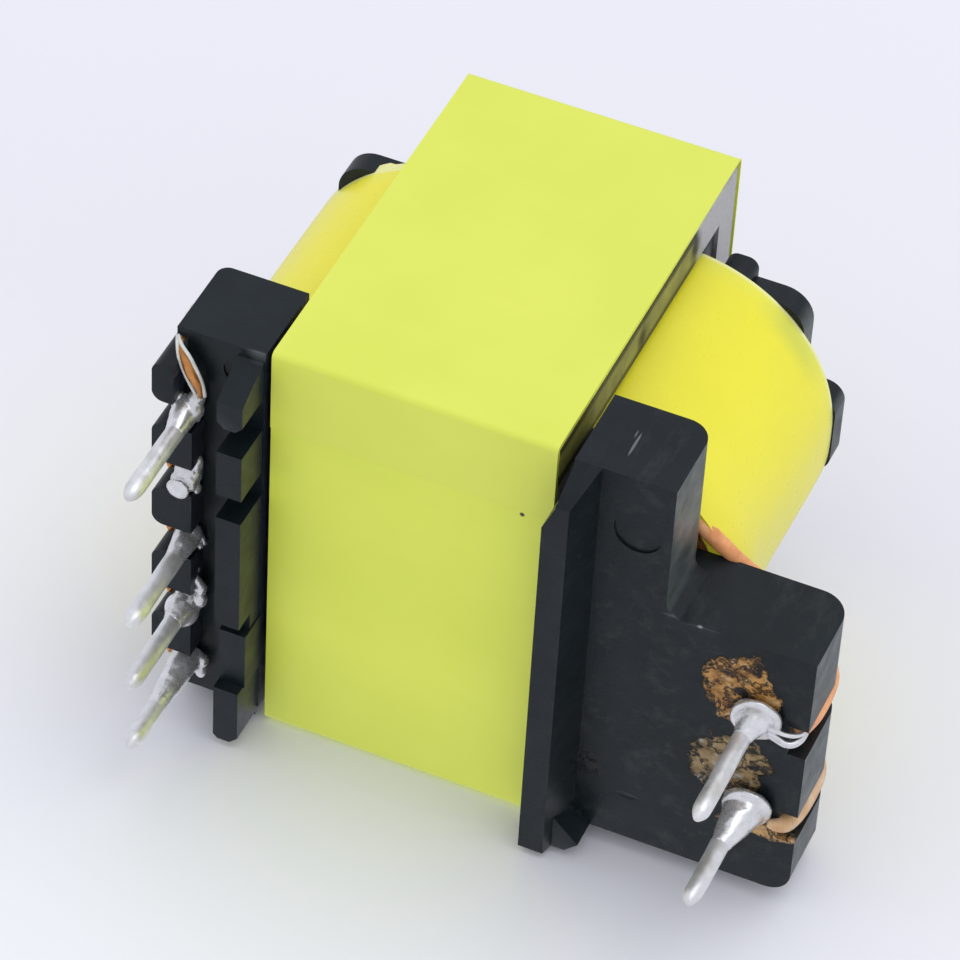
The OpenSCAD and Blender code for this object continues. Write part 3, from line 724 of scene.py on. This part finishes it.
# ---------- pieces ----------


class FINISH_OT_moulding(bpy.types.Operator):
    """Rounds the bobbin's moulded edges and gives it its plastic"""
    bl_idname = "finish.moulding"
    bl_label = "Moulded bobbin"

    def execute(self, context):
        piece = copy_node("bobbin", "bobbin_moulding")
        bpy.ops.object.mode_set(mode="EDIT")
        bpy.ops.mesh.select_all(action="SELECT")
        bpy.ops.mesh.dissolve_limited(angle_limit=math.radians(1))
        bpy.ops.object.mode_set(mode="OBJECT")
        bevel = piece.modifiers.new("edges", "BEVEL")
        bevel.width = sizes().edge_round
        bevel.segments = 3
        bevel.limit_method = "ANGLE"
        bevel.angle_limit = math.radians(40)
        piece.modifiers.new("normals", "WEIGHTED_NORMAL").keep_sharp = True
        bpy.ops.object.shade_smooth_by_angle(angle=math.radians(50))
        finish_modifiers(piece)
        dress(piece, moulded_plastic(), "bobbin", "bobbin")
        return {"FINISHED"}


class FINISH_OT_core(bpy.types.Operator):
    """Gives the two core halves their sintered ferrite"""
    bl_idname = "finish.core"
    bl_label = "Ferrite core"

    def execute(self, context):
        material = ferrite()
        for node in ("core_lower", "core_upper"):
            cover(node, material)
        return {"FINISHED"}


class FINISH_OT_core_tape(bpy.types.Operator):
    """Finishes the film tape round the core and its last turn"""
    bl_idname = "finish.core_tape"
    bl_label = "Core tape"

    def execute(self, context):
        piece = copy_node("core_tape", "core_tape_band")
        low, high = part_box("core_tape")
        tall = high.z - low.z
        bpy.ops.object.mode_set(mode="EDIT")
        for part in (0.25, 0.5, 0.75, 0.9):
            cut_level(low, low.z + tall * part)
        # the band draws in a little over the far end of the core
        for part, draw in ((0.72, 0.01), (0.88, 0.02), (0.97, 0.16)):
            above = low.z + tall * part
            for sign in (-1, 1):
                pick(piece, "VERT", lambda p: (p.x - MIDDLE.x) * sign > MM and p.z > above)
                bpy.ops.transform.translate(value=(-sign * draw * MM, 0, 0))
        bpy.ops.object.mode_set(mode="OBJECT")
        settle(piece)
        yellow = tuple(colours().core_tape)
        dress(piece, film_tape("core_tape_film", yellow, speck_and_painted_shade), "core_tape", "core_tape")
        paler = tint(yellow, (0.985, 0.965, 1.1))
        cover("core_tape_lap", film_tape("core_tape_lap_film", paler, speck_and_painted_shade))
        return {"FINISHED"}


class FINISH_OT_windings(bpy.types.Operator):
    """Models the winding's outer tape with its swelling and rims, and finishes the coils under it"""
    bl_idname = "finish.windings"
    bl_label = "Windings"
    rows = 20

    def execute(self, context):
        self.low, self.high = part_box("winding_tape")
        self.middle = (self.low + self.high) / 2
        self.half = (self.high - self.low) / 2
        piece = self.shell()
        self.swell(piece)
        self.edges(piece)
        bpy.ops.object.mode_set(mode="OBJECT")
        wall = piece.modifiers.new("film", "SOLIDIFY")
        wall.thickness, wall.offset = sizes().film, -1
        finish_modifiers(piece)
        settle(piece)
        yellow = tuple(colours().winding_tape)
        film = film_tape("winding_film", yellow, winding_edges(yellow), (0.26, 0.36))
        dress(piece, film, "winding_tape", "winding_tape")
        wire = enamelled_copper("coil_copper", tuple(colours().copper))
        for node in ("winding_first", "winding_second", "winding_third"):
            cover(node, wire)
        inner = film_tape("inner_film", tint(yellow, (0.95, 0.92, 0.9)))
        for node in ("tape_first", "tape_second"):
            cover(node, inner)
        return {"FINISHED"}

    def shell(self):
        """An open wall round the coil, a cylinder drawn out along both axes, left in edit mode."""
        low, high, middle, half = self.low, self.high, self.middle, self.half
        radius = half.y - 0.3 * MM
        deselect()
        bpy.ops.mesh.primitive_cylinder_add(
            vertices=128, radius=radius, depth=high.z - low.z, end_fill_type="NOTHING", location=middle)
        piece = new_piece("winding_skin")
        bpy.ops.object.transform_apply(location=True, rotation=True, scale=True)
        bpy.ops.object.mode_set(mode="EDIT")
        for sign in (-1, 1):
            pick(piece, "VERT", lambda p: (p.x - middle.x) * sign > TINY)
            bpy.ops.transform.translate(value=(sign * (half.x - radius), 0, 0))
            pick(piece, "VERT", lambda p: (p.y - middle.y) * sign > TINY)
            bpy.ops.transform.translate(value=(0, sign * (half.y - radius), 0))
        self.heights = [low.z + (high.z - low.z) * i / self.rows for i in range(self.rows + 1)]
        for z in self.heights[1:-1]:
            cut_level(middle, z)
        return piece

    def swell(self, piece):
        """Swells the wall towards its foot on the block's side, and a little on the near side."""
        low, high, middle, half = self.low, self.high, self.middle, self.half
        bulge = sizes().bulge
        for z in self.heights:
            t = (z - low.z) / (high.z - low.z)
            foot = math.exp(-((t - 0.06) / 0.2) ** 2)
            waist = math.exp(-((t - 0.55) / 0.2) ** 2)
            block_side = bulge * (foot - 0.08 * waist)
            rail_side = 0.1 * bulge * math.sin(math.pi * t)
            for sign, amount in ((1, block_side), (-1, rail_side)):
                if pick(piece, "VERT", lambda p: abs(p.z - z) < TINY and (p.x - middle.x) * sign > TINY):
                    bpy.ops.transform.resize(
                        value=(1 + amount / half.x, 1, 1), center_override=(middle.x, middle.y, z))
        pick(piece, "VERT", lambda p: p.y < middle.y - TINY)
        bpy.ops.transform.resize(value=(1, 1 + sizes().fullness / half.y, 1), center_override=middle)

    def edges(self, piece):
        """Folds the film in under the coil's foot, and lifts its top edge over the flange above the rail."""
        low, high, middle = self.low, self.high, self.middle
        pick(piece, "EDGE", lambda p: p.z < low.z + TINY)
        bpy.ops.mesh.extrude_edges_move(TRANSFORM_OT_translate={"value": (0, 0, 0.01 * MM)})
        bpy.ops.transform.resize(value=(0.8, 0.75, 1), center_override=(middle.x, middle.y, low.z))
        for reach, part in ((3.0, 0.3), (4.5, 0.35), (6.0, 0.35)):
            pick(piece, "VERT", lambda p: p.z > high.z - TINY and p.x < middle.x - reach * MM)
            bpy.ops.transform.translate(value=(0, 0, sizes().rim * part))


CUT_PIN = 2
# share of the point's length and of the width, for each step of a pin's point
POINT = ((0.3, 0.95), (0.3, 0.8), (0.25, 0.66), (0.15, 0.62))
CUT_POINT = ((1.0, 0.8),)


class FINISH_OT_pins(bpy.types.Operator):
    """Models the seven tinned pins with their blunt, rounded points"""
    bl_idname = "finish.pins"
    bl_label = "Pins"

    def execute(self, context):
        material = tinned("tinned_pin", stain=0.3)
        dents = bpy.data.textures.new("pin_dents", "CLOUDS")
        dents.noise_scale = 0.7 * MM
        for i in range(1, 8):
            piece = self.pin(i, cut=i == CUT_PIN)
            bpy.ops.object.mode_set(mode="OBJECT")
            round_off = piece.modifiers.new("round", "SUBSURF")
            round_off.levels = round_off.render_levels = 1
            dent = piece.modifiers.new("dents", "DISPLACE")
            dent.texture, dent.texture_coords = dents, "GLOBAL"
            dent.strength, dent.mid_level = 0.05 * MM, 0.5
            finish_modifiers(piece)
            settle(piece, 50)
            dress(piece, material, "pin", f"pin_{i}")
        return {"FINISHED"}

    def pin(self, i, cut):
        """A round pin down to its blunt point; the cut one stands hidden in its solder."""
        low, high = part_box(f"pin_{i}")
        if cut:
            low.z += 0.25 * MM
        middle = (low + high) / 2
        point = (0.06 if cut else 0.5) * MM
        deselect()
        bpy.ops.mesh.primitive_cylinder_add(
            vertices=24, radius=(high.x - low.x) / 2, depth=high.z - low.z - point,
            location=(middle.x, middle.y, (high.z + low.z + point) / 2))
        piece = new_piece(f"pin_{i}_tinned")
        bpy.ops.object.transform_apply(location=True, rotation=True, scale=True)
        bpy.ops.object.mode_set(mode="EDIT")
        for part in (0.15, 0.3, 0.45, 0.6, 0.75):
            cut_level(middle, low.z + (high.z - low.z) * part)
        pick(piece, "FACE", lambda p: p.z < low.z + point + TINY)
        for down, shrink in CUT_POINT if cut else POINT:
            bpy.ops.mesh.extrude_region_move(TRANSFORM_OT_translate={"value": (0, 0, -point * down)})
            bpy.ops.transform.resize(value=(shrink, shrink, 1))
        return piece


# lumps of solder on each pin: place and the three radii, in core millimetres
SOLDER_BALLS = {
    1: [(-6.98, -4.86, 1.02, (0.22, 0.26, 0.26)), (-6.42, -5.02, 1.1, (0.24, 0.34, 0.28)),
        (-6.4, -4.7, 0.95, (0.26, 0.34, 0.34)), (-6.85, -4.55, 0.8, (0.22, 0.28, 0.4))],
    2: [(-6.58, -2.1, 1.0, (0.38, 0.46, 0.36)), (-6.38, -2.55, 1.08, (0.18, 0.34, 0.2)),
        (-6.78, -2.3, 0.95, (0.22, 0.28, 0.26)), (-6.64, -2.0, 0.72, (0.41, 0.38, 0.16)),
        (-6.66, -1.98, 0.42, (0.37, 0.35, 0.14)), (-6.34, -1.7, 0.95, (0.16, 0.2, 0.18))],
    3: [(-6.62, 0.36, 1.08, (0.42, 0.42, 0.36)), (-6.36, 0.7, 1.2, (0.16, 0.3, 0.14))],
    4: [(-6.64, 3.12, 0.7, (0.52, 0.55, 0.52)), (-6.42, 1.7, 1.1, (0.15, 0.22, 0.18)),
        (-6.2, 2.35, 1.0, (0.2, 0.28, 0.2)), (-6.22, 2.8, 1.0, (0.24, 0.28, 0.22)),
        (-6.86, 2.45, 1.0, (0.2, 0.3, 0.2))],
    5: [(-6.62, 5.36, 1.1, (0.56, 0.32, 0.28)), (-6.16, 5.42, 1.12, (0.2, 0.2, 0.2)),
        (-6.2, 5.8, 1.08, (0.18, 0.3, 0.18)), (-6.78, 5.62, 0.65, (0.34, 0.32, 0.45))],
    6: [(10.8, 0.02, 1.24, (0.74, 0.66, 0.12))],
    7: [(10.83, 3.62, 1.2, (0.74, 0.66, 0.16))],
}
# how far the solder has climbed each pin: from, to, width there and here
SOLDER_CONES = {
    1: [((-6.66, -4.66, 1.15), (-6.6, -4.5, 0.0), 0.46, 0.27)],
    3: [((-6.64, 0.42, 1.1), (-6.6, 0.5, 0.0), 0.42, 0.27)],
    4: [((-6.6, 3.0, 0.6), (-6.6, 3.0, -0.1), 0.44, 0.27)],
    5: [((-6.64, 5.42, 1.2), (-6.6, 5.5, -1.2), 0.48, 0.26)],
    6: [((10.76, 0.1, 1.25), (10.65, 0.25, 0.5), 0.52, 0.27)],
    7: [((10.82, 3.64, 1.2), (10.65, 3.75, -0.5), 0.66, 0.27)],
}
# a loop of solder beside the fourth pin, and a raised lip round each of the two far collars
SOLDER_RINGS = {
    4: [(-6.55, 2.2, 1.05, 0.3, 0.14, (0.2, 0.1, 0))],
    6: [(10.82, 0.0, 1.1, 0.64, 0.12, (0.05, -0.12, 0))],
    7: [(10.86, 3.58, 1.08, 0.62, 0.12, (0.1, -0.12, 0))],
}


class FINISH_OT_solder(bpy.types.Operator):
    """Models the solder on each pin from lumps that have run together"""
    bl_idname = "finish.solder"
    bl_label = "Solder"

    def execute(self, context):
        material = tinned("solder_metal", 0.22, 0.36, 0.3, 0.02, 0.76)
        for i, balls in SOLDER_BALLS.items():
            piece = lumps(f"solder_{i}_lump", balls, SOLDER_RINGS.get(i, ()), SOLDER_CONES.get(i, ()))
            dress(piece, material, "solder", f"solder_{i}")
        return {"FINISHED"}


# routes of the leads that show, in core millimetres, each with the swelling of its wire along the way
LEAD_1 = (
    [(-6.45, -5.1, 5.3), (-6.9, -6.3, 4.6), (-7.0, -6.75, 3.9), (-7.02, -6.85, 2.6), (-7.02, -6.88, 1.6),
     (-6.96, -6.82, 1.12), (-6.78, -6.6, 0.98), (-6.56, -6.2, 0.95), (-6.34, -5.8, 0.95),
     (-6.22, -5.45, 0.98), (-6.3, -5.1, 1.05)],
    [0.8, 0.8, 0.8, 0.8, 0.6, 0.5, 0.9, 1.5, 1.35, 0.7, 0.5])
LEAD_6 = (
    [(6.4, -4.5, 4.5), (7.0, -3.95, 4.35), (7.5, -3.5, 4.3), (7.96, -3.12, 4.3), (8.4, -2.76, 4.32),
     (8.86, -2.4, 4.36), (9.45, -2.05, 4.4), (10.4, -1.2, 4.45), (11.3, -0.25, 4.5), (11.8, 0.2, 4.2),
     (11.96, 0.38, 3.7), (11.98, 0.4, 2.9), (11.97, 0.4, 2.2), (11.95, 0.36, 1.7)],
    [1, 1.1, 1.15, 1.15, 1.1, 0.95, 0.9, 1, 1, 1.3, 1.8, 1.85, 1.75, 1.3])
LEAD_7 = (
    [(8.2, 2.4, 4.9), (8.6, 2.55, 4.75), (9.4, 2.85, 4.55), (11.2, 3.75, 4.5), (11.8, 4.0, 4.2),
     (11.96, 4.1, 3.7), (11.98, 4.12, 2.9), (11.97, 4.12, 2.2), (11.95, 4.1, 1.55), (11.8, 4.05, 1.22),
     (11.5, 3.98, 1.15)],
    [1, 1, 1, 1, 1.3, 1.8, 1.9, 1.9, 1.6, 1.0, 0.6])
# the two clear film edges of the first lead
FILM_EDGES = {
    "outer": [(-7.12, -7.0, 1.3), (-7.02, -6.85, 1.08), (-6.9, -6.5, 0.92), (-6.74, -6.1, 0.9),
              (-6.52, -5.65, 0.9), (-6.4, -5.25, 1.0)],
    "inner": [(-7.1, -7.0, 1.3), (-6.92, -6.9, 1.08), (-6.6, -6.68, 0.98), (-6.36, -6.25, 0.95),
              (-6.14, -5.75, 0.95), (-6.12, -5.3, 1.0)],
}
# bare ends that run from pin to pin: route and radius
STRANDS = {
    "strand_1_to_2": ([(-6.35, -4.3, 1.05), (-6.5, -4.05, 1.2), (-6.72, -3.75, 1.18), (-6.7, -3.5, 1.16),
                       (-6.55, -3.2, 1.15), (-6.42, -2.9, 1.1), (-6.4, -2.5, 1.05)], 0.075),
    "strand_2_to_3": ([(-6.6, -1.6, 1.0), (-6.72, -1.1, 1.15), (-6.68, -0.72, 1.2), (-6.58, -0.4, 1.22),
                       (-6.5, -0.05, 1.2), (-6.62, 0.25, 1.15)], 0.07),
    "strand_3_root": ([(-6.9, 0.5, 1.1), (-6.5, 0.15, 1.2), (-6.25, 0.35, 1.2), (-6.2, 0.75, 1.25)], 0.07),
}
# how far each bare strand of the sixth lead lies across its groove, and how far it lifts
SIXTH_ENDS = ((-0.12, 0.0), (0.02, 0.1), (0.14, -0.03))
GLUE_BEADS = [(-7.2, -7.0, 2.45, (0.1, 0.14, 0.2)), (-7.22, -6.95, 2.2, (0.1, 0.12, 0.16))]


class FINISH_OT_leads(bpy.types.Operator):
    """Models the leads that show at the pins and in the grooves, and finishes the others"""
    bl_idname = "finish.leads"
    bl_label = "Leads"

    def execute(self, context):
        fine = enamelled_copper("fine_wire", tuple(colours().copper))
        for i in (2, 3, 4, 5):
            cover(f"lead_{i}", fine)
        self.first_lead(fine)
        bare = tinned("bare_strand", 0.25, 0.4, 0.3, 0.02, 0.8)
        for name, (points, radius) in STRANDS.items():
            dress(tube(name, points, radius), bare, "solder")
        self.insulated_leads(bare)
        return {"FINISHED"}

    def first_lead(self, fine):
        """Bulging copper between its two clear film edges, and a bead of glue where it leaves the rail."""
        route, swelling = LEAD_1
        dress(tube("lead_1_copper", route, 0.13, swelling), fine, "fine_wire", "lead_1")
        glue = clear_glue()
        for name, points in FILM_EDGES.items():
            dress(tube(f"lead_1_film_{name}", points, 0.055), glue, "fine_wire")
        dress(lumps("rail_glue", GLUE_BEADS), glue, "fine_wire")

    def insulated_leads(self, bare):
        """The two thick leads down the block's grooves, and the bare ends of the sixth."""
        orange = tuple(colours().insulation)
        insulation = film_insulation("lead_insulation", orange)
        pale = film_insulation("lead_insulation_pale", tint(orange, (0.8, 1.2, 1.7)))
        for name, (route, swelling), radius, material, node in (
                ("lead_6_sleeve", LEAD_6, 0.22, insulation, "lead_6"),
                ("lead_7_sleeve", LEAD_7, 0.21, pale, "lead_7")):
            dress(tube(name, route, radius, swelling), material, "insulated_wire", node)
        for k, (across, lift) in enumerate(SIXTH_ENDS):
            points = [(12.1, 0.4 + across, 2.0), (12.16, 0.42 + across, 1.55),
                      (12.0, 0.42 + across * 1.6, 1.2 - lift), (11.75, 0.4 + across * 1.8, 1.08 - lift),
                      (11.5, 0.34 + across * 1.4, 1.08), (11.2, 0.3 + across, 1.1)]
            dress(tube(f"lead_6_strand_{k + 1}", points, 0.07), bare, "solder")


class FINISH_OT_stage(bpy.types.Operator):
    """Lays the pale table and floor, and sets the camera and the lamps"""
    bl_idname = "finish.stage"
    bl_label = "Stage"

    def execute(self, context):
        self.planes()
        self.camera()
        self.lamp()
        self.surround()
        bpy.context.scene.view_settings.view_transform = "Standard"
        return {"FINISHED"}

    def planes(self):
        """The table the part lies on, and a floor in front of it."""
        low, high = CAD_BOX
        material = pale_table()
        for name, place, turn in (
                ("table_plane", (MIDDLE.x, high.y + 0.1 * MM, 0.005), (math.radians(90), 0, 0)),
                ("floor_plane", (MIDDLE.x, MIDDLE.y, low.z - 0.1 * MM), (0, 0, 0))):
            deselect()
            bpy.ops.mesh.primitive_plane_add(size=3.0, location=place, rotation=turn)
            plane = new_piece(name)
            bpy.ops.object.transform_apply(location=True, rotation=True, scale=True)
            plane.data.materials.append(material)

    def camera(self):
        """Looks at the pin side from below, along the view that shows both rails."""
        right = Vector((0.91521616, -0.04464338, 0.40048264))
        up = Vector((-0.30853503, -0.71691373, 0.62517265))
        turn = Matrix((right, up, right.cross(up))).transposed()
        data = bpy.data.cameras.new("camera")
        data.sensor_width = 36
        data.lens = bpy.context.scene.finish_light.focal_length
        data.clip_start, data.clip_end = 0.005, 20
        camera = bpy.data.objects.new("camera", data)
        camera.matrix_world = Matrix.Translation(at(38.609, -103.302, -93.024)) @ turn.to_4x4()
        bpy.context.scene.collection.objects.link(camera)
        bpy.context.scene.camera = camera

    def lamp(self):
        """One large soft lamp in front of the table."""
        data = bpy.data.lights.new("main_lamp", "AREA")
        data.shape, data.size, data.energy = "DISK", 0.5, bpy.context.scene.finish_light.key
        lamp = bpy.data.objects.new("main_lamp", data)
        bpy.context.scene.collection.objects.link(lamp)
        lamp.location = at(150, -560, 110)
        lamp.rotation_euler = (at(1.8, 0, 6) - lamp.location).to_track_quat("-Z", "Y").to_euler()

    def surround(self):
        """Even light from all sides, dimmer and cooler in gloss, and plain where the camera sees it."""
        light = bpy.context.scene.finish_light
        world = bpy.data.worlds.new("surround")
        world.use_nodes = True
        nodes, link = world.node_tree.nodes, world.node_tree.links.new
        nodes.clear()
        cool = (0.80, 0.82, 0.9, 1.0)
        lit, glossy, plain = (
            self.shade(nodes, (1.0, 1.0, 1.0, 1.0), light.surround),
            self.shade(nodes, cool, light.mirrored), self.shade(nodes, cool, 1.0))
        path = nodes.new("ShaderNodeLightPath")
        direct = nodes.new("ShaderNodeMath")
        direct.operation = "MAXIMUM"
        link(path.outputs["Is Camera Ray"], direct.inputs[0])
        link(path.outputs["Is Transmission Ray"], direct.inputs[1])
        gloss, seen = nodes.new("ShaderNodeMixShader"), nodes.new("ShaderNodeMixShader")
        for mix, factor, first, second in (
                (gloss, path.outputs["Is Glossy Ray"], lit, glossy),
                (seen, direct.outputs[0], gloss, plain)):
            link(factor, mix.inputs[0])
            link(first.outputs[0], mix.inputs[1])
            link(second.outputs[0], mix.inputs[2])
        link(seen.outputs[0], nodes.new("ShaderNodeOutputWorld").inputs["Surface"])
        bpy.context.scene.world = world

    def shade(self, nodes, colour, strength):
        """One of the surround's plain shades."""
        shade = nodes.new("ShaderNodeBackground")
        shade.inputs["Color"].default_value = colour
        shade.inputs["Strength"].default_value = strength
        return shade


class FINISH_PT_panel(bpy.types.Panel):
    """Lists the finish's values and steps"""
    bl_label = "Transformer finish"
    bl_space_type = "VIEW_3D"
    bl_region_type = "UI"
    bl_category = "Transformer"

    def draw(self, context):
        for group in (context.scene.finish_colours, context.scene.finish_sizes, context.scene.finish_light):
            for name in group.bl_rna.properties.keys():
                if name not in ("rna_type", "name"):
                    self.layout.prop(group, name)
        for operator in STEPS:
            self.layout.operator(operator.bl_idname)


STEPS = (FINISH_OT_moulding, FINISH_OT_core, FINISH_OT_core_tape, FINISH_OT_windings,
         FINISH_OT_pins, FINISH_OT_solder, FINISH_OT_leads, FINISH_OT_stage)
GROUPS = {"finish_colours": FinishColours, "finish_sizes": FinishSizes, "finish_light": FinishLight}
CLASSES = (*GROUPS.values(), *STEPS, FINISH_PT_panel)


def register():
    for cls in CLASSES:
        bpy.utils.register_class(cls)
    for name, group in GROUPS.items():
        setattr(bpy.types.Scene, name, bpy.props.PointerProperty(type=group))


def unregister():
    for name in GROUPS:
        delattr(bpy.types.Scene, name)
    for cls in reversed(CLASSES):
        bpy.utils.unregister_class(cls)


def main():
    register()
    bpy.ops.finish.moulding()
    bpy.ops.finish.core()
    bpy.ops.finish.core_tape()
    bpy.ops.finish.windings()
    bpy.ops.finish.pins()
    bpy.ops.finish.solder()
    bpy.ops.finish.leads()
    bpy.ops.finish.stage()


if __name__ == "__main__":
    main()
